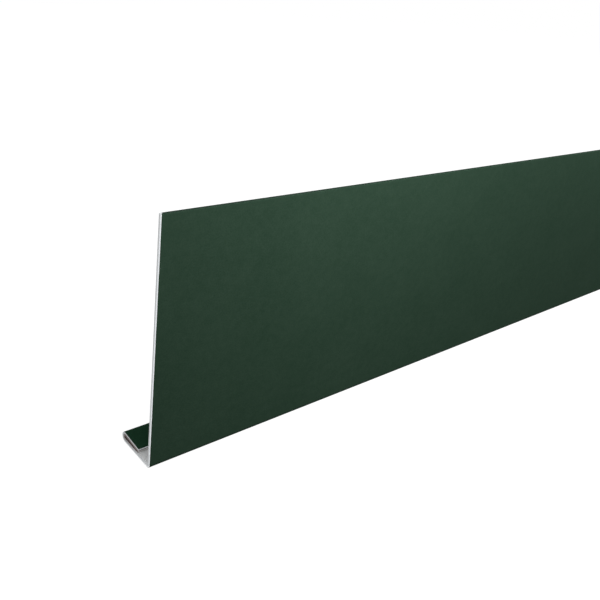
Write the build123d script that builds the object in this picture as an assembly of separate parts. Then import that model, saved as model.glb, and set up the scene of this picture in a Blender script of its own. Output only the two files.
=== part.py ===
from build123d import *
import os

# A gutter cover: one strip of sheet metal, folded along its whole length.
# Millimetres, +Z up, +X along the cover, the visible face towards -Y.
# The origin is on the floor under the middle of the cover.

# Driving sizes
length = 2000.0              # one stock length
face_height = 120.0          # from the floor to the top cut edge
return_depth = 25.0          # from the visible face to the back of the hem
sheet = 2.0                  # thickness of the metal
bend_inside_radius = 0.4     # the sharp bend between face and return
hem_inside_radius = 0.7      # the open fold at the back of the return
hem_leaf = 12.0              # flat of the folded-back leaf
hem_closing = 5.0            # degrees by which the leaf closes down on the return


def centre_line():
    """The middle of the sheet, seen from the end: face, bend, return, hem fold and leaf."""
    half_sheet = sheet / 2
    bend_radius = bend_inside_radius + half_sheet
    hem_radius = hem_inside_radius + half_sheet
    front = half_sheet - return_depth / 2
    fold_start = return_depth / 2 - hem_inside_radius - sheet
    with BuildLine() as path:
        face = Line((front, face_height), (front, half_sheet + bend_radius))
        bend = JernArc(start=face @ 1, tangent=face % 1, radius=bend_radius, arc_size=90)
        flat = Line(bend @ 1, (fold_start, half_sheet))
        fold = JernArc(start=flat @ 1, tangent=flat % 1, radius=hem_radius, arc_size=180 + hem_closing)
        Line(fold @ 1, fold @ 1 + (fold % 1) * hem_leaf)
    return path.line


def cover_sheet():
    """The folded strip, cut square at both ends."""
    with BuildPart() as strip:
        with BuildSketch(Plane.YZ.offset(-length / 2)):
            trace(centre_line(), line_width=sheet)
        extrude(amount=length)
    return strip.part


os.makedirs("parts", exist_ok=True)
export_step(cover_sheet(), "parts/cover_sheet.step")
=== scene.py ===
import math

import bmesh
import bpy
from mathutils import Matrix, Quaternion, Vector


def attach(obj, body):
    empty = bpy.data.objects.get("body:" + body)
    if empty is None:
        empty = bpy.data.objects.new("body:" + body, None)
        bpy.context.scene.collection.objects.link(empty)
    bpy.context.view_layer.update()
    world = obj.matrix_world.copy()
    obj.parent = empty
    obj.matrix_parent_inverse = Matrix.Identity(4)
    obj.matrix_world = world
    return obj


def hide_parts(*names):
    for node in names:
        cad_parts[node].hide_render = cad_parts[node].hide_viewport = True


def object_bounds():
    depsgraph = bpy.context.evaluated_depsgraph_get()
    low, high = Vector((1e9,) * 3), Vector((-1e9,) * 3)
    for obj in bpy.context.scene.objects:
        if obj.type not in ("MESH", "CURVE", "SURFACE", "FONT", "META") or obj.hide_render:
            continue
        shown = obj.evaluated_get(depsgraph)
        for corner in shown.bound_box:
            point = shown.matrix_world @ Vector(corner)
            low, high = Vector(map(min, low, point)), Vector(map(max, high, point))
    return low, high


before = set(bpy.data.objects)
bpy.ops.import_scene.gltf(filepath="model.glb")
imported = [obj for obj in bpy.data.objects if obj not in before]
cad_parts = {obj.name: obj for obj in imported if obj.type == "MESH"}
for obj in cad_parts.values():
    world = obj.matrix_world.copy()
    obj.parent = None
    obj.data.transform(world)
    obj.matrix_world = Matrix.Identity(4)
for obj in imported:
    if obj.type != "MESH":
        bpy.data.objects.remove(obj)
cad_low, cad_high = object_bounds()

# Sizes of the folded strip, in metres; the frame gives its length, height and depth
SHEET = 0.002
BEND_INSIDE = 0.0004
HEM_INSIDE = 0.0007
HEM_LEAF = 0.0120
HEM_CLOSING = math.radians(5.0)
HALF_LENGTH = cad_high.x
HEIGHT = cad_high.z
FRONT = cad_low.y
BACK = cad_high.y

# The middle of the sheet: the radii of its turns, and lengths down from the top cut edge
HALF_SHEET = SHEET / 2
BEND_RADIUS = BEND_INSIDE + HALF_SHEET
HEM_RADIUS = HEM_INSIDE + HALF_SHEET
FACE = HEIGHT - HALF_SHEET - BEND_RADIUS
BEND = BEND_RADIUS * math.pi / 2
RETURN = BACK - FRONT - HALF_SHEET - BEND_RADIUS - HEM_INSIDE - SHEET
HEM_FOLD = HEM_RADIUS * (math.pi + HEM_CLOSING)
HEM_START = FACE + BEND + RETURN
STRIP_END = HEM_START + HEM_FOLD + HEM_LEAF

# Spacing of the mesh
ARC_STEP = math.radians(7.5)
FLAT_STEP = 0.012
LENGTH_STEP = 0.050
SUPPORT = 0.0006
ROUNDING = 1e-6
SHARP_ANGLE = math.radians(35)

# How the shears leave a cut edge, measured down from the visible side and in from the edge
ROLL_OVER = 0.00012
ROLL_STEPS = 5
BURNISHED = 0.0008
BREAK_STEP = 0.00003
BREAK_BACK = 0.00005
BURR_ROUND = 0.00008

# How far down the face the coating is knocked off the rolled-over edge
WORN_DOWN = 0.115

# Finishes, in the order of the mesh's material slots
COAT, TOP_EDGE, REVERSE, SHEARED, BROKEN = range(5)

# Where the mesh keeps each point's place on the flat strip
FLAT_PLACE = "flat_place"

# Noise: the part of its range that tones and roughness run over, and how detailed it is
NOISE_LOW, NOISE_HIGH = 0.3, 0.7
PLAIN_DETAIL, SOFT_DETAIL = 2.0, 1.0

# Green coating, with a darker top edge and a deeper green on the leaf, both painted shade
COAT_FINE, COAT_MOTTLE, COAT_DRIFT = 0.0006, 0.0035, 0.030
COAT_SHARES = (0.47, 0.29, 0.24)
COAT_DARK, COAT_LIGHT = (0.0150, 0.0335, 0.0208), (0.0242, 0.0460, 0.0304)
# Top edge green, painted darker than the face as shade
TOP_EDGE_SHADE_DARK, TOP_EDGE_SHADE_LIGHT = (0.0100, 0.0220, 0.0142), (0.0135, 0.0265, 0.0182)
LEAF_SHADE_DARK, LEAF_SHADE_LIGHT = (0.0080, 0.0325, 0.0158), (0.0129, 0.0445, 0.0231)
COAT_SPECULAR = 0.01
COAT_ROUGHNESS = (0.66, 0.76)
COAT_RELIEF = 0.000012

# Bare corners of the top edge
CORNER_BARE, CORNER_FADE = 0.0016, 0.0004
CORNER_METAL = (0.50, 0.52, 0.53)

# Pale grey reverse
REVERSE_LINES, REVERSE_STRETCH = 0.0012, (60, 1, 1)
REVERSE_SPECK = 0.0009
REVERSE_SHARES = (0.6, 0.4)
REVERSE_DARK, REVERSE_LIGHT = (0.72, 0.73, 0.73), (0.82, 0.83, 0.83)
REVERSE_SPECULAR = 0.3
REVERSE_ROUGHNESS = (0.45, 0.58)
REVERSE_RELIEF = 0.000008

# Painted shade inside the hem, dark brownish, and how high the same painted shade reaches on the torn
# edge
HEM_SHADE_DARK, HEM_SHADE_LIGHT = (0.158, 0.126, 0.119), (0.228, 0.186, 0.177)
HEM_FADE = 0.0005
GAP_SHADE_ON_RETURN, GAP_SHADE_ON_LEAF = -0.0008, 0.0001
GAP_SHADE_FADE = 0.0003

# Bright sheared band of the cut edge
SHEARED_GRAIN, SHEARED_STRETCH = 0.00018, (1, 1, 40)
SHEARED_DARK, SHEARED_LIGHT = (0.78, 0.81, 0.83), (0.90, 0.93, 0.95)
SHEARED_METALLIC = 0.7
SHEARED_ROUGHNESS = (0.30, 0.44)
SHEARED_RELIEF = 0.000006
# Length of the painted shade before the hem fold
SHEARED_SHADE_LENGTH = 0.035

# Duller torn band of the cut edge
BROKEN_GRAIN, BROKEN_STRETCH = 0.00025, (1, 1, 2)
BROKEN_DARK, BROKEN_LIGHT = (0.58, 0.597, 0.608), (0.69, 0.707, 0.718)
BROKEN_METALLIC = 0.5
BROKEN_ROUGHNESS = (0.55, 0.72)
BROKEN_RELIEF = 0.000020
# Length of the painted shade before the hem fold
BROKEN_SHADE_LENGTH = 0.018

# Painted shade and light on both bands: their brightness at the hem fold, and the painted light that the
# leaf and its free edge add to it
SHADED_AT_FOLD, LEAF_PAINTED_LIGHT, LIP_PAINTED_LIGHT = 0.55, 0.04, 0.48

# Torn band on the leaf's free edge: a painted shadow line in its upper part and painted light at its
# foot
LIP_SHADOW_DARK, LIP_SHADOW_LIGHT = (0.20, 0.18, 0.173), (0.30, 0.272, 0.264)
LIP_LIT_FOOT_DARK, LIP_LIT_FOOT_LIGHT = (0.78, 0.77, 0.76), (0.90, 0.89, 0.88)
LIP_FADE = 0.0003
LIP_SHADOW_END, LIP_SHADOW_END_FADE = -0.00045, 0.0004

# Light
WORLD_LIGHT = 0.37
FLOOR_SIZE = 60.0
FLOOR_COLOUR = 0.15
FLOOR_LIFT = 0.945
KEY_PLACE = Vector((0.0, FRONT - 0.10, HEIGHT + 0.18))
KEY_SIZE = (2.10, 0.08)
KEY_POWER = 5.3
SPOT_PLACE = Vector((0.10 - HALF_LENGTH, FRONT - 0.16, HEIGHT + 0.08))
SPOT_SIZE = (0.10, 0.10)
SPOT_POWER = 0.28
SIDE_PLACE = Vector((-0.50 - HALF_LENGTH, FRONT, HEIGHT / 2))
SIDE_SIZE = (0.30, 0.30)
SIDE_POWER = 0.50
FILL_PLACE = Vector((0.0, FRONT + 1.5, HEIGHT + 0.30))
FILL_SIZE = (2.3, 0.4)
FILL_POWER = 9.0

# Camera, worked out from the cover's edges in the photograph
FRAME_PX = 600
FOCAL_PX = 705.2
SENSOR = 36.0
CLIP_START = 0.01
CAMERA_FROM_CORNER = Vector((-0.12837, -0.21036, 0.21445))
CAMERA_LOOK = Vector((0.62294, 0.64091, -0.44853))
CAMERA_ROLL = math.radians(8.50)


# The folded strip

def section_runs():
    """The middle of the sheet, from the top cut edge to the leaf's free edge, as runs of
    (length, start point, heading, turn radius). Points are (y, z) and turns go left."""
    plan = [(FACE, 0.0), (BEND, BEND_RADIUS), (RETURN, 0.0), (HEM_FOLD, HEM_RADIUS), (HEM_LEAF, 0.0)]
    runs = []
    point = Vector((FRONT + HALF_SHEET, HEIGHT))
    heading = -math.pi / 2
    for length, radius in plan:
        runs.append((length, point, heading, radius))
        point, heading = along_run(runs[-1], length)
    return runs


def along_run(run, distance):
    """Point and heading at a distance from the run's start."""
    _, start, heading, radius = run
    if radius == 0.0:
        return start + Vector((math.cos(heading), math.sin(heading))) * distance, heading
    centre = start + Vector((-math.sin(heading), math.cos(heading))) * radius
    turned = heading + distance / radius
    return centre + Vector((math.sin(turned), -math.cos(turned))) * radius, turned


def folded(runs, along, down, over):
    """Where a place on the flat strip ends up: along the cover, down the strip and over its middle."""
    for run in runs[:-1]:
        if down <= run[0]:
            break
        down -= run[0]
    else:
        run = runs[-1]
    point, heading = along_run(run, down)
    point = point + Vector((math.sin(heading), -math.cos(heading))) * over
    return Vector((along, point.x, point.y))


def spread(start, end, step):
    """Evenly spaced places from start to end, both included, at most a step apart."""
    count = max(1, math.ceil((end - start) / step - ROUNDING))
    return [start + (end - start) * k / count for k in range(count + 1)]


def strip_stations(runs):
    """Places down the strip where the mesh has an edge line, close together in the bends."""
    places = [0.0]
    for length, _, _, radius in runs:
        begin = places[-1]
        end = begin + length
        if radius == 0.0:
            places += spread(begin + 2 * SUPPORT, end - 2 * SUPPORT, FLAT_STEP) + [end]
        else:
            places += spread(begin, end, ARC_STEP * radius)[1:]
    return places


def cut_profile():
    """The cut edge from the visible side to the reverse, as rows of (height over the middle,
    distance in from the edge, finish of the band that ends there)."""
    rows = [(HALF_SHEET, ROLL_OVER + SUPPORT, COAT)]
    for k in range(ROLL_STEPS + 1):
        turn = math.pi / 2 * k / ROLL_STEPS
        drop, inset = ROLL_OVER * (1 - math.cos(turn)), ROLL_OVER * (1 - math.sin(turn))
        rows.append((HALF_SHEET - drop, inset, COAT))
    rows.append((HALF_SHEET - BURNISHED, 0.0, SHEARED))
    rows.append((HALF_SHEET - BURNISHED - BREAK_STEP, BREAK_STEP, BROKEN))
    rows.append((BURR_ROUND - HALF_SHEET, BREAK_BACK, BROKEN))
    rows.append((-HALF_SHEET, BREAK_BACK + BURR_ROUND, BROKEN))
    rows.append((-HALF_SHEET, BREAK_BACK + BURR_ROUND + SUPPORT, REVERSE))
    return rows


def band_finish(step, finish, on_top_edge, down):
    """The finish of one piece of a band of the cut edge. The top edge is coated. At the ends the
    coating is knocked off the rolled-over edge: all of it at the top and ever less down the face."""
    if on_top_edge:
        return TOP_EDGE if finish in (SHEARED, BROKEN) else finish
    rolled = 1 <= step <= ROLL_STEPS
    return SHEARED if rolled and step > ROLL_STEPS * down / WORN_DOWN else finish


def drawn_in(places, inset):
    """The same places with the first and last moved in from the edge."""
    return [places[0] + inset] + places[1:-1] + [places[-1] - inset]


def outline(columns, rows):
    """Grid places round the strip: left end, free edge of the hem, right end, top edge."""
    left = [(0, j) for j in range(rows)]
    foot = [(i, rows - 1) for i in range(1, columns - 1)]
    right = [(columns - 1, j) for j in reversed(range(rows))]
    head = [(i, 0) for i in reversed(range(1, columns - 1))]
    return left + foot + right + head


def add_layer(bm, runs, alongs, downs, height, grid):
    """Points at one height over the middle of the sheet, by their grid places."""
    flat_place = bm.verts.layers.float_vector[FLAT_PLACE]
    layer = {}
    for i, j in grid:
        vert = bm.verts.new(folded(runs, alongs[i], downs[j], height))
        vert[flat_place] = (alongs[i], downs[j], height)
        layer[i, j] = vert
    return layer


def add_quad(bm, corners, finish):
    """One smooth face with its finish."""
    face = bm.faces.new(corners)
    face.material_index = finish
    face.smooth = True


def add_side(bm, layer, columns, rows, finish):
    """The whole visible side or the whole reverse."""
    for i in range(columns - 1):
        for j in range(rows - 1):
            add_quad(bm, (layer[i, j], layer[i + 1, j], layer[i + 1, j + 1], layer[i, j + 1]), finish)


def add_band(bm, ring, downs, layers, step, finish):
    """One band of the cut edge, all the way round the strip."""
    upper, lower = layers[step], layers[step + 1]
    for here, following in zip(ring, ring[1:] + ring[:1]):
        on_top_edge = here[1] == 0 and following[1] == 0
        down = downs[min(here[1], following[1])]
        corners = (upper[here], lower[here], lower[following], upper[following])
        add_quad(bm, corners, band_finish(step, finish, on_top_edge, down))


def strip_mesh(name):
    """The whole folded strip as one closed mesh, with each point's place on the flat strip kept."""
    runs = section_runs()
    alongs = spread(-HALF_LENGTH, HALF_LENGTH, LENGTH_STEP)
    downs = strip_stations(runs)
    columns, rows = len(alongs), len(downs)
    whole = [(i, j) for i in range(columns) for j in range(rows)]
    ring = outline(columns, rows)
    profile = cut_profile()
    last = len(profile) - 1
    bm = bmesh.new()
    bm.verts.layers.float_vector.new(FLAT_PLACE)
    layers = []
    for k, (height, inset, _) in enumerate(profile):
        grid = whole if k in (0, last) else ring
        layers.append(add_layer(bm, runs, drawn_in(alongs, inset), drawn_in(downs, inset), height, grid))
    add_side(bm, layers[0], columns, rows, COAT)
    add_side(bm, layers[last], columns, rows, REVERSE)
    for k in range(last):
        add_band(bm, ring, downs, layers, k, profile[k + 1][2])
    bmesh.ops.recalc_face_normals(bm, faces=bm.faces)
    mesh = bpy.data.meshes.new(name)
    bm.to_mesh(mesh)
    bm.free()
    mesh.set_sharp_from_angle(angle=SHARP_ANGLE)
    return mesh


# Values and colours from the flat strip

def flat_place(tree):
    """Each point's place on the flat strip."""
    place = tree.nodes.new("ShaderNodeAttribute")
    place.attribute_name = FLAT_PLACE
    return place.outputs["Vector"]


def flat_axis(tree, axis):
    """One coordinate on the flat strip: X along the cover, Y down the strip, Z over its middle."""
    split = tree.nodes.new("ShaderNodeSeparateXYZ")
    tree.links.new(flat_place(tree), split.inputs[0])
    return split.outputs[axis]


def grain(tree, size, stretch=(1, 1, 1), detail=PLAIN_DETAIL):
    """Noise whose spots are about size metres across on the flat strip, stretched as asked."""
    scaled = tree.nodes.new("ShaderNodeVectorMath")
    scaled.operation = "MULTIPLY"
    scaled.inputs[1].default_value = [1 / (size * factor) for factor in stretch]
    noise = tree.nodes.new("ShaderNodeTexNoise")
    noise.inputs["Scale"].default_value = 1.0
    noise.inputs["Detail"].default_value = detail
    tree.links.new(flat_place(tree), scaled.inputs[0])
    tree.links.new(scaled.outputs["Vector"], noise.inputs["Vector"])
    return noise.outputs["Fac"]


def calculated(tree, operation, *values):
    """The result of a math node, with values from other nodes or plain numbers."""
    node = tree.nodes.new("ShaderNodeMath")
    node.operation = operation
    for socket, value in zip(node.inputs, values):
        if isinstance(value, bpy.types.NodeSocket):
            tree.links.new(value, socket)
        else:
            socket.default_value = value
    return node.outputs["Value"]


def weighed(tree, values, weights):
    """The weighted sum of several values."""
    total = 0.0
    for value, weight in zip(values, weights):
        total = calculated(tree, "MULTIPLY_ADD", value, weight, total)
    return total


def mapped(tree, value, start, end, low, high):
    """Low up to the start, high from the end on, and an even change between them."""
    ramp = tree.nodes.new("ShaderNodeMapRange")
    for name, limit in (("From Min", start), ("From Max", end), ("To Min", low), ("To Max", high)):
        ramp.inputs[name].default_value = limit
    tree.links.new(value, ramp.inputs["Value"])
    return ramp.outputs["Result"]


def ranged(tree, value, limits):
    """A noise value spread between two limits."""
    return mapped(tree, value, NOISE_LOW, NOISE_HIGH, *limits)


def stepped(tree, value, place, fade, low=0.0, high=1.0):
    """Low where a value is under a place and high where it is over it, with a soft change."""
    return mapped(tree, value, place - fade / 2, place + fade / 2, low, high)


def past(tree, down, fade, low=0.0, high=1.0):
    """One value above a place down the strip and another below it, with a soft change."""
    return stepped(tree, flat_axis(tree, "Y"), down, fade, low, high)


def round_hem(tree, before, after):
    """One value up to the hem fold and another on the leaf, changing evenly round the fold."""
    return past(tree, HEM_START + HEM_FOLD / 2, HEM_FOLD, before, after)


def inside_hem(tree):
    """One from where the leaf covers the return to the strip's end, and zero before."""
    return past(tree, HEM_START - HEM_LEAF + HEM_FADE, HEM_FADE)


def on_lip(tree, value=1.0):
    """A value on the leaf's free edge, and zero before."""
    return past(tree, STRIP_END - LIP_FADE, LIP_FADE, 0.0, value)


def toned(tree, value, low, high):
    """A colour between two, by a noise value."""
    ramp = tree.nodes.new("ShaderNodeValToRGB")
    first, second = ramp.color_ramp.elements
    first.position, second.position = NOISE_LOW, NOISE_HIGH
    first.color, second.color = (*low, 1), (*high, 1)
    tree.links.new(value, ramp.inputs["Fac"])
    return ramp.outputs["Color"]


def blended(tree, share, first, second):
    """Two colours mixed by a share of the second."""
    both = tree.nodes.new("ShaderNodeMixRGB")
    tree.links.new(share, both.inputs["Fac"])
    tree.links.new(first, both.inputs["Color1"])
    tree.links.new(second, both.inputs["Color2"])
    return both.outputs["Color"]


# Materials

def new_material(name, **values):
    """A material and its principled shader, with plain values set by socket name."""
    material = bpy.data.materials.new(name)
    material.use_nodes = True
    shader = material.node_tree.nodes["Principled BSDF"]
    for socket, value in values.items():
        shader.inputs[socket.replace("_", " ")].default_value = value
    return material, shader


def relief(tree, shader, height, depth):
    """A fine relief of the surface, depth metres from low to high."""
    bump = tree.nodes.new("ShaderNodeBump")
    bump.inputs["Distance"].default_value = depth
    tree.links.new(height, bump.inputs["Height"])
    tree.links.new(bump.outputs["Normal"], shader.inputs["Normal"])


def coat_material(name, dark, light):
    """Matt coating with a fine even grain, a faint mottle and slow drifts of tone, between the colours
    given for the open side and deeper greens on the leaf, which are painted shade."""
    material, shader = new_material(name, Specular_IOR_Level=COAT_SPECULAR)
    tree = material.node_tree
    fine = grain(tree, COAT_FINE, detail=SOFT_DETAIL)
    mottle = grain(tree, COAT_MOTTLE)
    drift = grain(tree, COAT_DRIFT)
    tone = weighed(tree, (fine, mottle, drift), COAT_SHARES)
    open_green = toned(tree, tone, dark, light)
    # the leaf's deeper green is painted shade, where the face shades the leaf
    leaf_shaded_green = toned(tree, tone, LEAF_SHADE_DARK, LEAF_SHADE_LIGHT)
    green = blended(tree, round_hem(tree, 0.0, 1.0), open_green, leaf_shaded_green)
    tree.links.new(green, shader.inputs["Base Color"])
    tree.links.new(ranged(tree, tone, COAT_ROUGHNESS), shader.inputs["Roughness"])
    relief(tree, shader, fine, COAT_RELIEF)
    return material


def at_corners(tree):
    """One on a small triangle at each end of the top edge, widest on the reverse side."""
    from_middle = calculated(tree, "ABSOLUTE", flat_axis(tree, "X"))
    slant = weighed(tree, (from_middle, flat_axis(tree, "Z")), (1.0, -CORNER_BARE / SHEET))
    return stepped(tree, slant, HALF_LENGTH - CORNER_BARE / 2, CORNER_FADE)


def top_edge_material():
    """The coated top edge, its green painted darker than the face as shade, with the coating knocked off
    its corners.
    """
    material = coat_material("green_top_edge", TOP_EDGE_SHADE_DARK, TOP_EDGE_SHADE_LIGHT)
    tree = material.node_tree
    base = tree.nodes["Principled BSDF"].inputs["Base Color"]
    green = base.links[0].from_socket
    metal = tree.nodes.new("ShaderNodeRGB")
    metal.outputs["Color"].default_value = (*CORNER_METAL, 1)
    tree.links.new(blended(tree, at_corners(tree), green, metal.outputs["Color"]), base)
    return material


def reverse_material():
    """Pale grey backing lacquer with faint lines along the strip, as a coating roller leaves, and a dark
    brownish painted shade inside the hem."""
    material, shader = new_material("grey_reverse", Specular_IOR_Level=REVERSE_SPECULAR)
    tree = material.node_tree
    lines = grain(tree, REVERSE_LINES, REVERSE_STRETCH)
    speck = grain(tree, REVERSE_SPECK, detail=SOFT_DETAIL)
    tone = weighed(tree, (lines, speck), REVERSE_SHARES)
    pale = toned(tree, tone, REVERSE_DARK, REVERSE_LIGHT)
    dark = toned(tree, tone, HEM_SHADE_DARK, HEM_SHADE_LIGHT)
    # inside the hem the grey gives way to painted shade
    tree.links.new(blended(tree, inside_hem(tree), pale, dark), shader.inputs["Base Color"])
    tree.links.new(ranged(tree, tone, REVERSE_ROUGHNESS), shader.inputs["Roughness"])
    relief(tree, shader, tone, REVERSE_RELIEF)
    return material


def shaded_cut_tone(tree, value, dark, light, shade_length):
    """The cut metal's colour: as it was sheared down the face, then painted shade, darker and darker
    over the last stretch before the hem fold and a little less on the leaf, and painted light that makes
    it bright again on its free edge."""
    shade_before_fold = past(tree, HEM_START - shade_length / 2, shade_length, 1.0, SHADED_AT_FOLD)
    steps = (shade_before_fold, round_hem(tree, 0.0, LEAF_PAINTED_LIGHT), on_lip(tree, LIP_PAINTED_LIGHT))
    scale = tree.nodes.new("ShaderNodeVectorMath")
    scale.operation = "SCALE"
    tree.links.new(toned(tree, value, dark, light), scale.inputs[0])
    tree.links.new(weighed(tree, steps, (1.0, 1.0, 1.0)), scale.inputs["Scale"])
    return scale.outputs["Vector"]


def gap_shade_on_edge(tree):
    """How far the painted shade of the hem's gap covers the torn edge: not at all on the face, next to
    the gap on the covered return, and over nearly its whole width on the leaf."""
    limit = round_hem(tree, GAP_SHADE_ON_RETURN, GAP_SHADE_ON_LEAF)
    below = calculated(tree, "SUBTRACT", limit, flat_axis(tree, "Z"))
    return calculated(tree, "MULTIPLY", stepped(tree, below, 0.0, GAP_SHADE_FADE), inside_hem(tree))


def lip_shadow_and_light(tree, value):
    """The torn band on the leaf's free edge: a painted shadow line above and painted light at its foot.
    """
    head = toned(tree, value, LIP_SHADOW_DARK, LIP_SHADOW_LIGHT)
    foot = toned(tree, value, LIP_LIT_FOOT_DARK, LIP_LIT_FOOT_LIGHT)
    on_foot = stepped(tree, flat_axis(tree, "Z"), LIP_SHADOW_END, LIP_SHADOW_END_FADE, 1.0, 0.0)
    return blended(tree, on_foot, head, foot)


def sheared_material():
    """Bright band of a sheared edge, rubbed smooth by the blade, with fine lines through the sheet."""
    material, shader = new_material("sheared_metal", Metallic=SHEARED_METALLIC)
    tree = material.node_tree
    rubbed = grain(tree, SHEARED_GRAIN, SHEARED_STRETCH)
    # painted shade towards the hem fold, and painted light on the leaf's free edge
    bright = shaded_cut_tone(tree, rubbed, SHEARED_DARK, SHEARED_LIGHT, SHEARED_SHADE_LENGTH)
    tree.links.new(bright, shader.inputs["Base Color"])
    tree.links.new(ranged(tree, rubbed, SHEARED_ROUGHNESS), shader.inputs["Roughness"])
    relief(tree, shader, rubbed, SHEARED_RELIEF)
    return material


def broken_material():
    """Duller band where the metal tore away below the blade, with a fine uneven grain. Painted shade
    darkens it towards the hem fold and round the hem's gap, as dark as the painted shade inside the hem,
    and a painted shadow line and painted light lie on the leaf's free edge."""
    material, shader = new_material("broken_metal", Metallic=BROKEN_METALLIC)
    tree = material.node_tree
    torn = grain(tree, BROKEN_GRAIN, BROKEN_STRETCH)
    # painted shade towards the hem fold, and painted light on the leaf's free edge
    bare = shaded_cut_tone(tree, torn, BROKEN_DARK, BROKEN_LIGHT, BROKEN_SHADE_LENGTH)
    dark = toned(tree, torn, HEM_SHADE_DARK, HEM_SHADE_LIGHT)
    # painted shade of the hem's gap on the torn edge
    gap_shaded = blended(tree, gap_shade_on_edge(tree), bare, dark)
    # on the leaf's free edge, a painted shadow line above and painted light at its foot
    colour = blended(tree, on_lip(tree), gap_shaded, lip_shadow_and_light(tree, torn))
    tree.links.new(colour, shader.inputs["Base Color"])
    tree.links.new(ranged(tree, torn, BROKEN_ROUGHNESS), shader.inputs["Roughness"])
    relief(tree, shader, torn, BROKEN_RELIEF)
    return material


def dress_cover():
    """The visible cover: the folded strip with its finishes."""
    mesh = strip_mesh("cover_finish")
    mesh.materials.append(coat_material("green_coat", COAT_DARK, COAT_LIGHT))
    for make in (top_edge_material, reverse_material, sheared_material, broken_material):
        mesh.materials.append(make())
    cover = bpy.data.objects.new("cover_finish", mesh)
    bpy.context.collection.objects.link(cover)
    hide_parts("cover_sheet")
    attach(cover, "root")


# Surroundings

def seen_directly(tree):
    """1 for camera, mirror and see-through rays, 0 for the light that falls on the cover."""
    path = tree.nodes.new("ShaderNodeLightPath")
    total = path.outputs["Is Camera Ray"]
    for name in ("Is Glossy Ray", "Is Transmission Ray"):
        total = calculated(tree, "MAXIMUM", total, path.outputs[name])
    return total


def show_and_light(tree, shown, lighting, output_type):
    """Makes one shader what is seen, and another what lights the cover."""
    mix = tree.nodes.new("ShaderNodeMixShader")
    output = tree.nodes.new(output_type)
    tree.links.new(seen_directly(tree), mix.inputs[0])
    tree.links.new(lighting.outputs[0], mix.inputs[1])
    tree.links.new(shown.outputs[0], mix.inputs[2])
    tree.links.new(mix.outputs[0], output.inputs[0])


def glowing(tree, node_type, strength):
    """A shader that gives off white light of its own."""
    shader = tree.nodes.new(node_type)
    shader.inputs["Color"].default_value = (1, 1, 1, 1)
    shader.inputs["Strength"].default_value = strength
    return shader


def white_world():
    """White where it is seen, and a softer even light on the cover."""
    world = bpy.data.worlds.new("studio")
    world.use_nodes = True
    bpy.context.scene.world = world
    tree = world.node_tree
    tree.nodes.clear()
    seen = glowing(tree, "ShaderNodeBackground", 1.0)
    light = glowing(tree, "ShaderNodeBackground", WORLD_LIGHT)
    show_and_light(tree, seen, light, "ShaderNodeOutputWorld")


def pale_floor():
    """A level floor that looks white and still takes the cover's shadow."""
    bpy.ops.mesh.primitive_plane_add(size=FLOOR_SIZE, location=(0, 0, 0))
    floor = bpy.context.object
    floor.name = "floor"
    material = bpy.data.materials.new("floor")
    material.use_nodes = True
    tree = material.node_tree
    tree.nodes.clear()
    matt = tree.nodes.new("ShaderNodeBsdfDiffuse")
    matt.inputs["Color"].default_value = (FLOOR_COLOUR, FLOOR_COLOUR, FLOOR_COLOUR, 1)
    glow = glowing(tree, "ShaderNodeEmission", FLOOR_LIFT)
    lifted = tree.nodes.new("ShaderNodeAddShader")
    tree.links.new(matt.outputs[0], lifted.inputs[0])
    tree.links.new(glow.outputs[0], lifted.inputs[1])
    show_and_light(tree, lifted, matt, "ShaderNodeOutputMaterial")
    floor.data.materials.append(material)


def soft_lamp(name, place, size, power):
    """A soft lamp turned towards the nearest place half way up the face."""
    data = bpy.data.lights.new(name, "AREA")
    data.shape = "RECTANGLE"
    data.size, data.size_y = size
    data.energy = power
    lamp = bpy.data.objects.new(name, data)
    bpy.context.collection.objects.link(lamp)
    target = Vector((max(-HALF_LENGTH, place.x), FRONT, HEIGHT / 2))
    lamp.location = place
    lamp.rotation_mode = "QUATERNION"
    lamp.rotation_quaternion = (target - place).to_track_quat("-Z", "Y")


def photo_camera():
    """The camera at the photograph's viewing angle, by the cover's left end."""
    data = bpy.data.cameras.new("camera")
    data.sensor_width = SENSOR
    data.lens = FOCAL_PX / FRAME_PX * SENSOR
    data.clip_start = CLIP_START
    camera = bpy.data.objects.new("camera", data)
    bpy.context.collection.objects.link(camera)
    camera.location = Vector((cad_low.x, FRONT, cad_low.z)) + CAMERA_FROM_CORNER
    level = CAMERA_LOOK.to_track_quat("-Z", "Y")
    camera.rotation_mode = "QUATERNION"
    camera.rotation_quaternion = level @ Quaternion((0, 0, 1), CAMERA_ROLL)
    bpy.context.scene.camera = camera


bpy.context.scene.view_settings.view_transform = "Standard"
dress_cover()
white_world()
pale_floor()
soft_lamp("key", KEY_PLACE, KEY_SIZE, KEY_POWER)
soft_lamp("spot", SPOT_PLACE, SPOT_SIZE, SPOT_POWER)
soft_lamp("side", SIDE_PLACE, SIDE_SIZE, SIDE_POWER)
soft_lamp("fill", FILL_PLACE, FILL_SIZE, FILL_POWER)
photo_camera()
